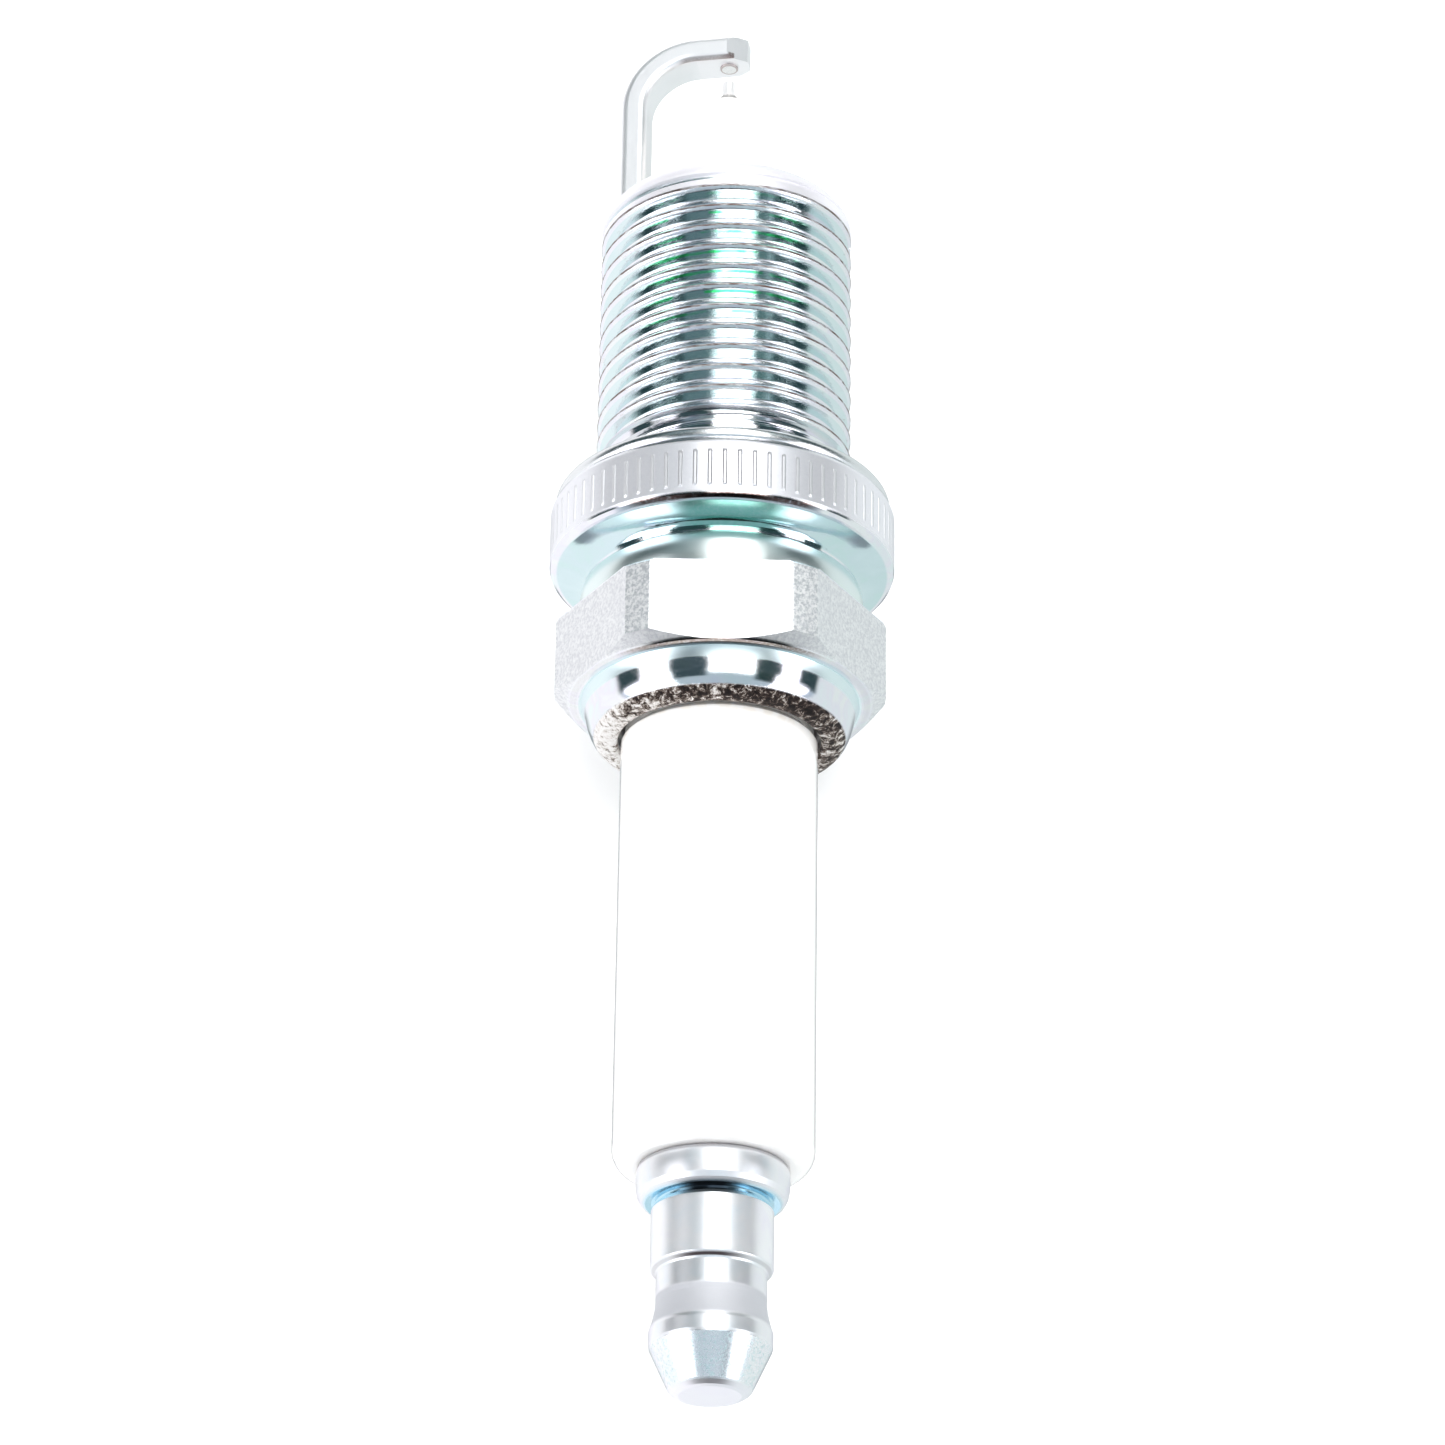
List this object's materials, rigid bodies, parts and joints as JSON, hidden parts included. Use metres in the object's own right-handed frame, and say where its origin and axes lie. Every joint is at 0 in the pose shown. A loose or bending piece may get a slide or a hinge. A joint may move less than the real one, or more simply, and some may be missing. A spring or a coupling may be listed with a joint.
{
  "type": "spark plug",
  "caption": "Gasket-seat spark plug with a threaded hexagon shell, plain ceramic barrel, bent ground strap, fine-wire tip and removable terminal nut.",
  "frame": {"origin": "centre of the gasket's sealing face, on the plug's axis", "axes": "+Z along the plug's axis towards the terminal, so the firing end is at -Z; the hexagon has two corners on the X axis, and the ground strap's leg stands on the +X side, turned 10 degrees towards +Y"},
  "size_m": [0.0186, 0.0186, 0.0804],
  "materials": {
    "shell_plating": "polished",
    "gasket_steel": "satin",
    "nickel_alloy": "satin",
    "precious_metal": "polished",
    "alumina": "gloss",
    "packing_steel": "matte",
    "talc": "matte",
    "copper": "satin",
    "seal_glass": "satin",
    "resistor_mass": "matte",
    "terminal_steel": "satin"
  },
  "bodies": {
    "plug_body": {"metal_shell": "shell_plating", "ground_electrode": "nickel_alloy", "ground_pad": "precious_metal", "insulator": "alumina", "lower_packing": "packing_steel", "lower_wire_ring": "packing_steel", "talc_packing": "talc", "upper_wire_ring": "packing_steel", "centre_electrode": "nickel_alloy", "copper_core": "copper", "fine_wire_tip": "precious_metal", "lower_glass_seal": "seal_glass", "resistor": "resistor_mass", "upper_glass_seal": "seal_glass", "terminal_stud": "terminal_steel"},
    "gasket": {"gasket": "gasket_steel"},
    "terminal_nut": {"terminal_nut": "terminal_steel"}
  },
  "joints": [
    {"name": "gasket_turn", "type": "hinge", "parent": "plug_body", "child": "gasket", "pos_m": [0, 0, 0], "axis": [0, 0, 1], "continuous": true},
    {"name": "terminal_nut_turn", "type": "hinge", "parent": "plug_body", "child": "terminal_nut", "pos_m": [0, 0, 0.0408], "axis": [0, 0, 1], "range_deg": [0, 3888]}
  ]
}
